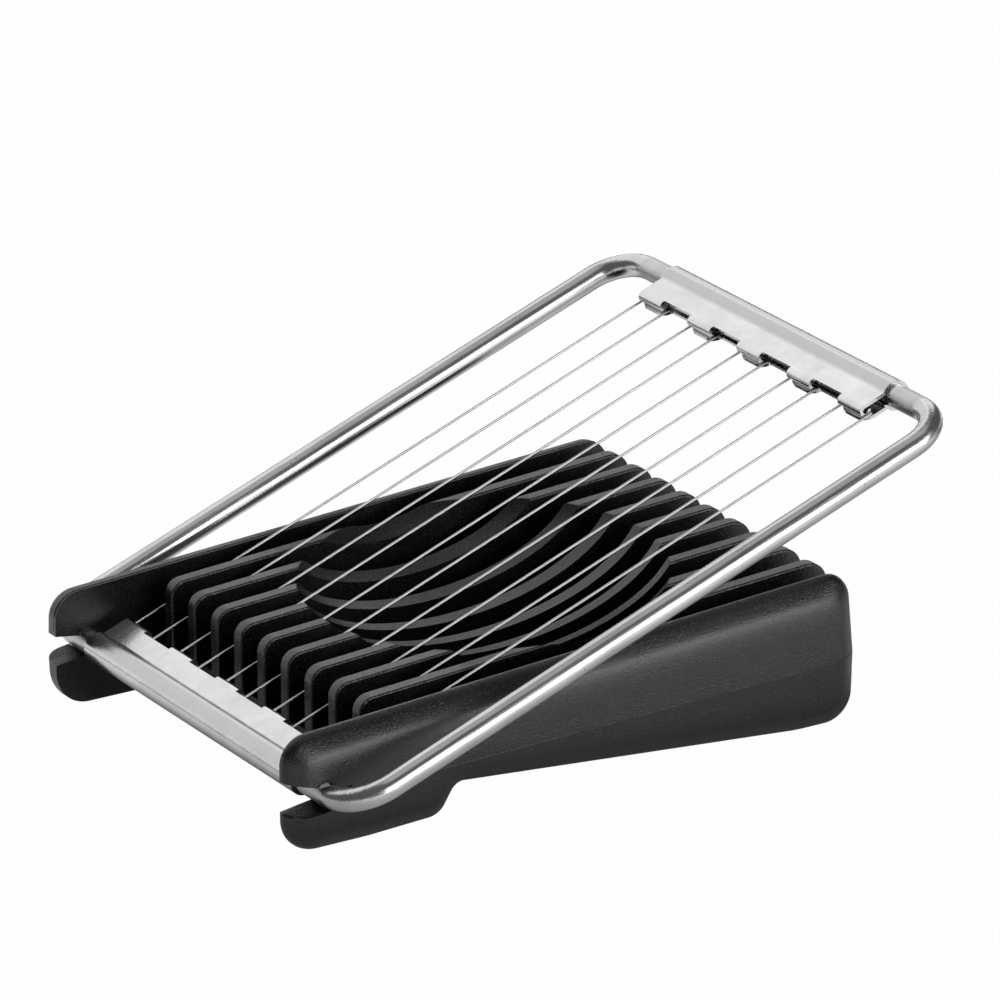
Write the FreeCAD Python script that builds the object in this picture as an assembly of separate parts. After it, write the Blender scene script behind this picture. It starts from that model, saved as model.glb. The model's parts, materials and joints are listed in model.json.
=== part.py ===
"""Egg slicer: a moulded comb base and a wire frame that hinges at its front bar.

Millimetres, +X across, +Y from the hinge to the comb end, +Z up, standing on Z = 0.
The part is drawn with Y = 0 at the front faces of the ribs, and moved at the end so that
the origin lies on the table under the middle of the whole object in its open pose.
"""
import FreeCAD, Part

import math
import os

from FreeCAD import Vector

# Comb of the base
RIB_COUNT = 9
RIB_PITCH = 6.0
RIB_THICK = 2.0
RIB_LENGTH = 71.2
RIB_FRONT_RADIUS = 2.2
RIB_REAR_RADIUS = 3.0
RIB_EDGE_RADIUS = 0.3
DECK_FRONT_HEIGHT = 16.5
DECK_REAR_HEIGHT = 21.0
FLOOR_THICK = 1.8
FLOOR_SETBACK = 0.6

# Hollow for the egg, an ellipsoid square to the deck; its widest section lies above the deck
HOLLOW_Y = 33.8
HOLLOW_RIM_X = 25.8
HOLLOW_RIM_Y = 24.1
HOLLOW_DEPTH = 8.2
HOLLOW_RIM_SHARE = 0.95

# Side walls with their front jaws and feet
WALL_THICK = 3.4
WALL_EDGE_REACH = 2.6
WALL_EDGE_INSET = 2.3
HEEL_MARGIN = 0.4
REAR_TOP_MARGIN = 1.0
REAR_BOTTOM_MARGIN = 1.6
KINK_RADIUS = 20.0
JAW_REACH = 5.0
NOSE_RADIUS = 3.8
REAR_REACH = 0.7
REAR_LEAN = 0.6
FOOT_NOSE_RADIUS = 4.8
FOOT_PAD_LENGTH = 7.5
FOOT_HEEL_Y = 8.8
FOOT_HEEL_LIFT = 0.5
STEP_RUN = 2.4
STEP_HEIGHT = 4.6
STEP_RADIUS = 1.8
REST_PAD_LENGTH = 4.3
PARTING_FRONT_HEIGHT = 7.5
PARTING_REAR_HEIGHT = 9.7
UPPER_DRAFT = 3.0
LOWER_DRAFT = 3.0

# Hinge slots in the jaws
HINGE_HEIGHT = 8.35
HINGE_CLEARANCE = 0.05
SLOT_NUB_REACH = 1.25
SLOT_NUB_DIP = 0.5
SLOT_NUB_RADIUS = 0.5
SLOT_MOUTH_RISE = 0.2
SLOT_MOUTH_DROP = 0.9
SLOT_BEVEL_DROP = 1.15
SLOT_BEVEL_INSET = 0.6
SLOT_BEVEL_TAIL = 3.6
SLOT_LIP_RISE = 0.9

# Bent rod of the cutting frame
ROD_DIAMETER = 3.2
BEND_RADIUS = 6.0
ROD_END_GAP = 0.4
REST_TILT = 20.7
FLAT_INSET = 1.4
FLAT_LEVEL = 0.2
FLAT_TURN = 33.0
FLAT_RAMP = 2.2

# Folded sheet clamps on the front and rear bars
SHEET = 0.45
CLAMP_CLEARANCE = 0.03
FOLD_ANGLE = 45.0
VALLEY_RADIUS = 0.47
UNDER_VALLEY_RADIUS = 0.6
FLANGE_REACH = 4.7
UNDER_REACH = 4.4
UNDER_GAP = 0.04
TAB_WIDTH = 5.3
ROLL_REACH = 4.9
ROLL_RADIUS = 0.83
ROLL_SWEEP = 265.0
TONGUE_WIDTH = 6.2
TONGUE_REACH = 5.7
TONGUE_RADIUS = 1.8
CREASE_ANGLE = 145.0
CREASE_DEPTH = 0.12

# Cutting wires, two to a tab
WIRE_DIAMETER = 0.35
WIRE_SEAT = 0.015
HOOK_BEND = 0.25
HOOK_LENGTH = 1.6

# Clear spaces between the frame and the base
FRONT_GAP = 3.45
REAR_GAP = 9.15
END_PLAY = 0.2

# Overrun of the cutting tools past the faces that they cut
CUT_MARGIN = 1.0
CUT_FAR = 40.0

# Distance within which a point counts as lying on a face
TOUCH = 1e-3

# Worked out from the sizes above: the clamp
ROD_RADIUS = ROD_DIAMETER / 2
WIRE_RADIUS = WIRE_DIAMETER / 2
CLAMP_INNER = ROD_RADIUS + CLAMP_CLEARANCE
CLAMP_OUTER = CLAMP_INNER + SHEET
CLAMP_MIDDLE = CLAMP_INNER + SHEET / 2
VALLEY_REACH = (CLAMP_MIDDLE + VALLEY_RADIUS) * math.cos(math.radians(FOLD_ANGLE))
VALLEY_HEIGHT = (CLAMP_MIDDLE + VALLEY_RADIUS) * math.sin(math.radians(FOLD_ANGLE))
FLANGE_TOP = VALLEY_HEIGHT - VALLEY_RADIUS + SHEET / 2
ROLL_BORE = ROLL_RADIUS - SHEET
ROLL_HEIGHT = FLANGE_TOP - ROLL_RADIUS
UNDER_TOP = ROLL_HEIGHT - ROLL_RADIUS - UNDER_GAP
UNDER_VALLEY_HEIGHT = UNDER_TOP - SHEET / 2 - UNDER_VALLEY_RADIUS
UNDER_FOLD = math.degrees(math.asin(-UNDER_VALLEY_HEIGHT / (CLAMP_MIDDLE + UNDER_VALLEY_RADIUS)))
UNDER_VALLEY_REACH = (CLAMP_MIDDLE + UNDER_VALLEY_RADIUS) * math.cos(math.radians(UNDER_FOLD))
CLAMP_SWING = max(TONGUE_REACH, ROLL_REACH + ROLL_RADIUS)
TAB_COUNT = (RIB_COUNT + 1) // 2
TAB_PITCH = 2 * RIB_PITCH
CLAMP_LENGTH = TAB_PITCH * (TAB_COUNT - 1) + TAB_WIDTH

# Worked out from the sizes above: the wires
WIRE_SPREAD = TAB_WIDTH + WIRE_DIAMETER + 2 * WIRE_SEAT
WIRE_LEVEL = UNDER_TOP + WIRE_RADIUS + WIRE_SEAT
WIRE_TOUCH = ROLL_RADIUS + WIRE_RADIUS + WIRE_SEAT
WIRE_REACH = ROLL_REACH - math.sqrt(WIRE_TOUCH ** 2 - (ROLL_HEIGHT - WIRE_LEVEL) ** 2)

# Worked out from the sizes above: the base and the frame round it
DECK_SLOPE = (DECK_REAR_HEIGHT - DECK_FRONT_HEIGHT) / RIB_LENGTH
WALL_INNER = RIB_PITCH * (RIB_COUNT + 1) / 2 - RIB_THICK / 2
WALL_OUTER = WALL_INNER + WALL_THICK
HEEL_RADIUS = WALL_EDGE_REACH + HEEL_MARGIN
REAR_TOP_RADIUS = WALL_EDGE_REACH + REAR_TOP_MARGIN
REAR_BOTTOM_RADIUS = WALL_EDGE_REACH + REAR_BOTTOM_MARGIN
WALL_WIDENING = WALL_EDGE_REACH / WALL_EDGE_INSET
HINGE_SETBACK = CLAMP_SWING + FRONT_GAP
NOSE_Y = -HINGE_SETBACK - JAW_REACH
REAR_Y = RIB_LENGTH + REAR_REACH
PAD_Y = REAR_Y - REAR_BOTTOM_RADIUS - REST_PAD_LENGTH
STEP_Y = FOOT_HEEL_Y + STEP_RUN
PARTING_SLOPE = (PARTING_REAR_HEIGHT - PARTING_FRONT_HEIGHT) / (REAR_Y - NOSE_Y)
BOTTOM_SLOPE = STEP_HEIGHT / (PAD_Y - STEP_Y)
SLOT_RADIUS = ROD_RADIUS + HINGE_CLEARANCE
FRAME_HALF = WALL_OUTER + END_PLAY + BEND_RADIUS
FRAME_LENGTH = HINGE_SETBACK + REAR_Y + REAR_GAP + CLAMP_SWING
FRAME_REAR_Y = -HINGE_SETBACK + FRAME_LENGTH * math.cos(math.radians(REST_TILT)) + CLAMP_OUTER
MIDDLE_Y = (NOSE_Y + FRAME_REAR_Y) / 2


def deck_height(y):
    """Height of the rib tops at y."""
    return DECK_FRONT_HEIGHT + DECK_SLOPE * y


def parting_height(y):
    """Height of the mould's parting line on the walls at y."""
    return PARTING_FRONT_HEIGHT + PARTING_SLOPE * (y - NOSE_Y)


def bottom_height(y):
    """Height of the walls' bottom edge behind the feet, down to the flat rest pad."""
    return max(0.0, BOTTOM_SLOPE * (PAD_Y - y))


def rounded_corner(before, here, after, radius):
    """Start, middle and end of the arc that rounds a corner between two neighbouring points."""
    back = (before - here).normalize()
    ahead = (after - here).normalize()
    half = back.getAngle(ahead) / 2
    inward = (back + ahead).normalize()
    reach = radius / math.tan(half)
    depth = radius / math.sin(half) - radius
    return here + back * reach, here + inward * depth, here + ahead * reach


def outline(corners):
    """Closed wire through corners (point, radius), each rounded by an arc where its radius isn't 0."""
    arcs = []
    for index, (here, radius) in enumerate(corners):
        before = corners[index - 1][0]
        after = corners[(index + 1) % len(corners)][0]
        arcs.append(rounded_corner(before, here, after, radius) if radius else (here, here, here))
    edges = []
    for index, (start, middle, end) in enumerate(arcs):
        if corners[index][1]:
            edges.append(Part.Arc(start, middle, end).toShape())
        edges.append(Part.LineSegment(end, arcs[(index + 1) % len(arcs)][0]).toShape())
    return Part.Wire(edges)


def bent_tube(points, bend, radius):
    """Round bar along straight runs between points, with every corner bent to the same radius."""
    edges = []
    start = points[0]
    for before, here, after in zip(points, points[1:], points[2:]):
        first, middle, last = rounded_corner(before, here, after, bend)
        edges.append(Part.LineSegment(start, first).toShape())
        edges.append(Part.Arc(first, middle, last).toShape())
        start = last
    edges.append(Part.LineSegment(start, points[-1]).toShape())
    circle = Part.Wire(Part.makeCircle(radius, points[0], points[1] - points[0]))
    return Part.Wire(edges).makePipeShell([circle], True, False)


def side_prism(corners, low_x, high_x):
    """Solid of a side view outline with corners (y, z, radius), between two X planes."""
    wire = outline([(Vector(low_x, y, z), radius) for y, z, radius in corners])
    return Part.Face(wire).extrude(Vector(high_x - low_x, 0, 0))


def mirrored(shape):
    """Copy of a shape on the other side of the X = 0 plane."""
    return shape.mirror(Vector(0, 0, 0), Vector(1, 0, 0))


def rounded_side_edges(solid, side, skip, radius):
    """Round the edges of the faces that look to one side, -1 or 1 along X, apart from those to skip."""
    edges = []
    for face in solid.Faces:
        u_first, u_last, v_first, v_last = face.ParameterRange
        normal = face.normalAt((u_first + u_last) / 2, (v_first + v_last) / 2)
        if normal.x * side < 1 - TOUCH:
            continue
        for edge in face.Edges:
            middle = edge.valueAt((edge.FirstParameter + edge.LastParameter) / 2)
            if not skip(middle):
                edges.append(edge)
    return solid.makeFillet(radius, edges)


def wall_blank():
    """The +X wall without draft, its outer face on X = 0, and widened so that its oval edge is round."""
    top_y = REAR_Y - REAR_LEAN
    corners = [
        (NOSE_Y, 0, FOOT_NOSE_RADIUS),
        (NOSE_Y, deck_height(NOSE_Y), NOSE_RADIUS),
        (top_y, deck_height(top_y), REAR_TOP_RADIUS),
        (REAR_Y, parting_height(REAR_Y), KINK_RADIUS),
        (REAR_Y, 0, REAR_BOTTOM_RADIUS),
        (PAD_Y, 0, KINK_RADIUS),
        (STEP_Y, STEP_HEIGHT, STEP_RADIUS),
        (FOOT_HEEL_Y, FOOT_HEEL_LIFT, HEEL_RADIUS),
        (NOSE_Y + FOOT_NOSE_RADIUS + FOOT_PAD_LENGTH, 0, KINK_RADIUS),
    ]
    depth = (WALL_THICK + CUT_MARGIN) * WALL_WIDENING
    solid = side_prism(corners, -depth, 0)
    return rounded_side_edges(solid, 1, lambda point: point.x < -TOUCH, WALL_EDGE_REACH)


def wall_half(blank, direction, draft):
    """The +X wall above (direction 1) or below (-1) the parting line, leaning in by its draft."""
    lean = -direction * math.tan(math.radians(draft))
    place = FreeCAD.Matrix()
    place.A11 = 1 / WALL_WIDENING
    place.A12 = -lean * PARTING_SLOPE
    place.A13 = lean
    place.A14 = WALL_OUTER - lean * parting_height(0)
    start = NOSE_Y - CUT_FAR
    level = parting_height(start)
    points = [
        Vector(WALL_INNER, start, level),
        Vector(WALL_INNER + CUT_FAR, start, level),
        Vector(WALL_INNER + CUT_FAR, start, level + direction * CUT_FAR),
        Vector(WALL_INNER, start, level + direction * CUT_FAR),
    ]
    length = REAR_Y - NOSE_Y + 2 * CUT_FAR
    face = Part.Face(Part.makePolygon(points + points[:1]))
    kept = face.extrude(Vector(0, length, PARTING_SLOPE * length))
    return blank.transformGeometry(place).common(kept)


def side_wall():
    """The +X wall with its jaw and foot, before the slot is cut."""
    blank = wall_blank()
    return wall_half(blank, 1, UPPER_DRAFT).fuse(wall_half(blank, -1, LOWER_DRAFT))


def slot_mouth():
    """Flared mouth of the slots with the snap nub, through both jaws."""
    y = -HINGE_SETBACK
    z = HINGE_HEIGHT
    mouth = NOSE_Y - CUT_MARGIN
    side = WALL_OUTER + CUT_MARGIN
    corners = [
        (mouth, z + SLOT_RADIUS + SLOT_MOUTH_RISE, 0),
        (y - SLOT_NUB_REACH, z + SLOT_RADIUS - SLOT_NUB_DIP, SLOT_NUB_RADIUS),
        (y, z + SLOT_RADIUS, 0),
        (y, z - SLOT_RADIUS, 0),
        (mouth, z - SLOT_RADIUS - SLOT_MOUTH_DROP, 0),
    ]
    return side_prism(corners, -side, side)


def slot_socket():
    """Round socket for the journals, through both jaws."""
    side = WALL_OUTER + CUT_MARGIN
    start = Vector(-side, -HINGE_SETBACK, HINGE_HEIGHT)
    return Part.makeCylinder(SLOT_RADIUS, 2 * side, start, Vector(1, 0, 0))


def along_slot_floor(section, end):
    """Solid of points (x, height over the mouth's lower face), swept along that face up to an end."""
    mouth = NOSE_Y - CUT_MARGIN
    low = HINGE_HEIGHT - SLOT_RADIUS - SLOT_MOUTH_DROP
    slope = SLOT_MOUTH_DROP / (-HINGE_SETBACK - mouth)
    points = [Vector(x, mouth, low + height) for x, height in section]
    face = Part.Face(Part.makePolygon(points + points[:1]))
    return face.extrude(Vector(0, end - mouth, slope * (end - mouth)))


def near_slot():
    """Slot of the +X jaw; the foot's top falls away outwards from the slot's lower face."""
    inner = WALL_INNER + SLOT_BEVEL_INSET
    outer = WALL_OUTER + CUT_MARGIN
    section = [(inner, 0), (outer, -SLOT_BEVEL_DROP), (outer, SLOT_RADIUS), (inner, SLOT_RADIUS)]
    bevel = along_slot_floor(section, -HINGE_SETBACK + SLOT_BEVEL_TAIL)
    return slot_mouth().multiFuse([slot_socket(), bevel])


def far_slot():
    """Slot of the -X jaw, drawn on the +X side; the foot's top rises outwards, up to the socket."""
    outer = WALL_OUTER + CUT_MARGIN
    section = [(WALL_INNER, 0), (WALL_INNER, -SLOT_RADIUS), (outer, -SLOT_RADIUS), (outer, SLOT_LIP_RISE)]
    lip = along_slot_floor(section, -HINGE_SETBACK)
    return slot_mouth().cut(lip).fuse(slot_socket())


def hollow():
    """Ellipsoid that cuts the egg's seat into the ribs."""
    share = math.sqrt(1 - HOLLOW_RIM_SHARE ** 2)
    height = HOLLOW_DEPTH / (1 - share)
    tool = Part.makeSphere(1.0)
    scale = FreeCAD.Matrix()
    scale.scale(HOLLOW_RIM_X / HOLLOW_RIM_SHARE, HOLLOW_RIM_Y / HOLLOW_RIM_SHARE, height)
    tool = tool.transformGeometry(scale)
    tool.translate(Vector(0, 0, share * height))
    tool.rotate(Vector(0, 0, 0), Vector(1, 0, 0), math.degrees(math.atan(DECK_SLOPE)))
    tool.translate(Vector(0, HOLLOW_Y, deck_height(HOLLOW_Y)))
    return tool


def rib():
    """One rib of the comb on the middle plane, before the hollow is cut."""
    corners = [
        (0, bottom_height(0), 0),
        (0, deck_height(0), RIB_FRONT_RADIUS),
        (RIB_LENGTH, deck_height(RIB_LENGTH), RIB_REAR_RADIUS),
        (RIB_LENGTH, 0, 0),
        (PAD_Y, 0, 0),
    ]
    solid = side_prism(corners, -RIB_THICK / 2, RIB_THICK / 2)

    def low_edge(point):
        return point.z < bottom_height(point.y) + TOUCH

    solid = rounded_side_edges(solid, 1, low_edge, RIB_EDGE_RADIUS)
    return rounded_side_edges(solid, -1, low_edge, RIB_EDGE_RADIUS)


def floor_plate():
    """Sloping floor that ties the ribs and the walls together under the wires' lowest place."""
    front = FLOOR_SETBACK
    rear = RIB_LENGTH - FLOOR_SETBACK
    corners = [
        (front, bottom_height(front), 0),
        (front, bottom_height(front) + FLOOR_THICK, 0),
        (PAD_Y, FLOOR_THICK, 0),
        (rear, FLOOR_THICK, 0),
        (rear, 0, 0),
        (PAD_Y, 0, 0),
    ]
    return side_prism(corners, -WALL_INNER, WALL_INNER)


def base():
    """The moulded base in one piece."""
    wall = side_wall()
    near = wall.cut(near_slot())
    far = mirrored(wall.cut(far_slot()))
    blank = rib()
    seat = hollow()
    pieces = [far, floor_plate()]
    for index in range(RIB_COUNT):
        single = blank.copy()
        single.translate(Vector(RIB_PITCH * (index - (RIB_COUNT - 1) / 2), 0, 0))
        pieces.append(single.cut(seat))
    return near.multiFuse(pieces).removeSplitter()


def frame_rod():
    """The round rod bent to a rectangle, flat in its own XY plane, with flats at the journals."""
    points = [
        Vector(ROD_END_GAP / 2, 0, 0),
        Vector(FRAME_HALF, 0, 0),
        Vector(FRAME_HALF, FRAME_LENGTH, 0),
        Vector(-FRAME_HALF, FRAME_LENGTH, 0),
        Vector(-FRAME_HALF, 0, 0),
        Vector(-ROD_END_GAP / 2, 0, 0),
    ]
    flat = journal_flat()
    return bent_tube(points, BEND_RADIUS, ROD_RADIUS).cut(flat).cut(mirrored(flat))


def journal_flat():
    """Cutter for the flat that thins the rod where it passes through the +X jaw."""
    top = ROD_DIAMETER
    first = WALL_INNER + FLAT_INSET
    last = WALL_OUTER + END_PLAY
    points = [
        Vector(first, FLAT_LEVEL, -top),
        Vector(last, FLAT_LEVEL, -top),
        Vector(last + FLAT_RAMP, top, -top),
        Vector(first, top, -top),
    ]
    tool = Part.Face(Part.makePolygon(points + points[:1])).extrude(Vector(0, 0, 2 * top))
    tool.rotate(Vector(0, 0, 0), Vector(1, 0, 0), FLAT_TURN)
    return tool


def ring_point(radius, degrees, centre=(0.0, 0.0)):
    """Point of a circle in the clamp's section, as (reach, height)."""
    angle = math.radians(degrees)
    return Vector(centre[0] + radius * math.cos(angle), centre[1] + radius * math.sin(angle), 0)


def section_bar(edges, length):
    """Bar along X, centred on X = 0, of a section drawn in XY as (reach, height)."""
    face = Part.Face(Part.Wire(edges))
    face.Placement = FreeCAD.Placement(Vector(-length / 2, 0, 0), FreeCAD.Rotation(Vector(1, 1, 1), 120))
    return face.extrude(Vector(length, 0, 0))


def arc(radius, first, last, centre=(0.0, 0.0)):
    """Arc edge of a clamp section from one angle to another."""
    middle = (first + last) / 2
    return Part.Arc(ring_point(radius, first, centre), ring_point(radius, middle, centre),
                    ring_point(radius, last, centre)).toShape()


def line(start, end):
    """Straight edge of a clamp section."""
    return Part.LineSegment(start, end).toShape()


def clamp_sheet():
    """Folded sheet round the bar: cover, valley, top flange and the shorter layer under it."""
    high = (VALLEY_REACH, VALLEY_HEIGHT)
    low = (UNDER_VALLEY_REACH, UNDER_VALLEY_HEIGHT)
    half = SHEET / 2
    turn = 180 + FOLD_ANGLE
    under = 180 - UNDER_FOLD
    flange_end = Vector(FLANGE_REACH, FLANGE_TOP, 0)
    flange_under = Vector(FLANGE_REACH, FLANGE_TOP - SHEET, 0)
    under_end = Vector(UNDER_REACH, UNDER_TOP, 0)
    under_base = Vector(UNDER_REACH, UNDER_TOP - SHEET, 0)
    edges = [
        line(flange_end, ring_point(VALLEY_RADIUS - half, 270, high)),
        arc(VALLEY_RADIUS - half, 270, turn, high),
        arc(CLAMP_OUTER, FOLD_ANGLE, 180),
        arc(CLAMP_OUTER, 180, 360 - UNDER_FOLD),
        arc(UNDER_VALLEY_RADIUS - half, under, 90, low),
        line(ring_point(UNDER_VALLEY_RADIUS - half, 90, low), under_base),
        line(under_base, under_end),
        line(under_end, ring_point(UNDER_VALLEY_RADIUS + half, 90, low)),
        arc(UNDER_VALLEY_RADIUS + half, 90, under, low),
        arc(CLAMP_INNER, 360 - UNDER_FOLD, 180),
        arc(CLAMP_INNER, 180, FOLD_ANGLE),
        arc(VALLEY_RADIUS + half, turn, 270, high),
        line(ring_point(VALLEY_RADIUS + half, 270, high), flange_under),
        line(flange_under, flange_end),
    ]
    return section_bar(edges, CLAMP_LENGTH).cut(crease_cutter())


def crease_cutter():
    """Fine crease that runs along the outside of the cover."""
    tip = ring_point(CLAMP_OUTER - CREASE_DEPTH, CREASE_ANGLE)
    spread = math.degrees(CREASE_DEPTH / CLAMP_OUTER)
    edge = CLAMP_OUTER + CREASE_DEPTH
    first = ring_point(edge, CREASE_ANGLE - spread)
    last = ring_point(edge, CREASE_ANGLE + spread)
    return section_bar([line(tip, first), line(first, last), line(last, tip)], CLAMP_LENGTH + 2 * CUT_MARGIN)


def clamp_tab():
    """One tab on the middle plane: it carries the flange on and rolls down in front of the wire's hook."""
    last = 90 - ROLL_SWEEP
    centre = (ROLL_REACH, ROLL_HEIGHT)
    root_top = Vector(FLANGE_REACH, FLANGE_TOP, 0)
    root_under = Vector(FLANGE_REACH, FLANGE_TOP - SHEET, 0)
    edges = [
        line(root_top, ring_point(ROLL_RADIUS, 90, centre)),
        arc(ROLL_RADIUS, 90, last, centre),
        line(ring_point(ROLL_RADIUS, last, centre), ring_point(ROLL_BORE, last, centre)),
        arc(ROLL_BORE, last, 90, centre),
        line(ring_point(ROLL_BORE, 90, centre), root_under),
        line(root_under, root_top),
    ]
    return section_bar(edges, TAB_WIDTH)


def clamp_tongue():
    """One tongue of the under layer with round corners, below a tab."""
    half = TONGUE_WIDTH / 2
    base_level = UNDER_TOP - SHEET
    wire = outline([
        (Vector(-half, UNDER_VALLEY_REACH, base_level), 0),
        (Vector(half, UNDER_VALLEY_REACH, base_level), 0),
        (Vector(half, TONGUE_REACH, base_level), TONGUE_RADIUS),
        (Vector(-half, TONGUE_REACH, base_level), TONGUE_RADIUS),
    ])
    return Part.Face(wire).extrude(Vector(0, 0, SHEET))


def clamp():
    """Sheet clamp of the front bar in the frame's own plane, with the bar along X through the origin."""
    pieces = []
    for index in range(TAB_COUNT):
        step = Vector(TAB_PITCH * (index - (TAB_COUNT - 1) / 2), 0, 0)
        for piece in (clamp_tab(), clamp_tongue()):
            piece.translate(step)
            pieces.append(piece)
    return clamp_sheet().multiFuse(pieces).removeSplitter()


def rear_clamp():
    """The same clamp turned round onto the rear bar."""
    turned = clamp()
    turned.rotate(Vector(0, FRAME_LENGTH / 2, 0), Vector(0, 0, 1), 180)
    return turned


def cutting_wire(side):
    """One taut wire of a pair, its ends hooked behind the rolled tabs; side is -1 or 1."""
    x = side * WIRE_SPREAD / 2
    end = x - side * (HOOK_BEND + HOOK_LENGTH)
    near = WIRE_REACH
    far = FRAME_LENGTH - WIRE_REACH
    points = [
        Vector(end, near, WIRE_LEVEL),
        Vector(x, near, WIRE_LEVEL),
        Vector(x, far, WIRE_LEVEL),
        Vector(end, far, WIRE_LEVEL),
    ]
    return bent_tube(points, HOOK_BEND, WIRE_RADIUS)


def in_open_pose(shape):
    """Set a piece of the frame, drawn flat, at the open pose on the hinge axis."""
    placed = shape.copy()
    placed.rotate(Vector(0, 0, 0), Vector(1, 0, 0), REST_TILT)
    placed.translate(Vector(0, -HINGE_SETBACK, HINGE_HEIGHT))
    return placed


def all_pieces():
    """Every node's name with its solid in the drawing's own place."""
    pieces = {
        "comb_base": base(),
        "frame_rod": in_open_pose(frame_rod()),
        "front_clamp": in_open_pose(clamp()),
        "rear_clamp": in_open_pose(rear_clamp()),
    }
    for index in range(2 * TAB_COUNT):
        wire = cutting_wire(1 if index % 2 else -1)
        wire.translate(Vector(TAB_PITCH * (index // 2 - (TAB_COUNT - 1) / 2), 0, 0))
        pieces[f"cutting_wire_{index + 1:02d}"] = in_open_pose(wire)
    return pieces


def main():
    """Write one STEP file for each node."""
    os.makedirs("parts", exist_ok=True)
    for name, shape in all_pieces().items():
        shape.translate(Vector(0, -MIDDLE_Y, 0))
        shape.exportStep(f"parts/{name}.step")
        print(f"{name}: {len(shape.Solids)} solid, valid {shape.isValid()}, {shape.Volume:.1f} mm3")


if __name__ == "__main__":
    main()
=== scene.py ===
"""Looks of the egg slicer: finishes, the crowned walls and moulded details of its base, studio and camera."""

import json
import logging
import math
from dataclasses import dataclass, field
from enum import Enum
from typing import Any, Dict, List, Sequence, Tuple, Union

import bpy
import numpy as np
from mathutils import Matrix, Vector

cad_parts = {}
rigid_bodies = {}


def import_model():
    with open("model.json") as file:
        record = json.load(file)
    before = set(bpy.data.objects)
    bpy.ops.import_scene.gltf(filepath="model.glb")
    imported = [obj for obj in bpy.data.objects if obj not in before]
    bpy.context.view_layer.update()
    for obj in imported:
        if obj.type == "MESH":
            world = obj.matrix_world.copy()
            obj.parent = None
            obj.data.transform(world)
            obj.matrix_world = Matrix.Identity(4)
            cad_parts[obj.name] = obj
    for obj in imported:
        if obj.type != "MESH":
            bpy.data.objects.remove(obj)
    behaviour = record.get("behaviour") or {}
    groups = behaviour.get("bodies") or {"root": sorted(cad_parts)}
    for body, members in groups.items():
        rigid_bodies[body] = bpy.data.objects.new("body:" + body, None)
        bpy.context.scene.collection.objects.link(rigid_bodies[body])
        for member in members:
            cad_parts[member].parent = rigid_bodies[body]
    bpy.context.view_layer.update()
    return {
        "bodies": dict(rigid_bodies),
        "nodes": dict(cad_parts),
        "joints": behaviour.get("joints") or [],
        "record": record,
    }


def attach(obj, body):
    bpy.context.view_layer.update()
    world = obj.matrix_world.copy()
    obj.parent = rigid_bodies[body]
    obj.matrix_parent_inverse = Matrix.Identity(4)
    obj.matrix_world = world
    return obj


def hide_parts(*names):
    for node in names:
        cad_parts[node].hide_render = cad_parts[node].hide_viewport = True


LOG = logging.getLogger("egg_slicer")
MM = 0.001
REST_TILT = 20.7
Colour = Tuple[float, float, float]
Socket = bpy.types.NodeSocket
Value = Union[Socket, float]
Paint = Union[Socket, Colour]
Along = Union[float, np.ndarray]


class Body(Enum):
    """The body that new pieces ride on."""

    BASE = "base"


class Slot(Enum):
    """A material slot name of the record, which the new pieces are not given."""

    PLASTIC = "black_plastic"


class Side(Enum):
    """The two walls of the base, by the sign of X."""

    NEAR = 1
    FAR = -1


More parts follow.
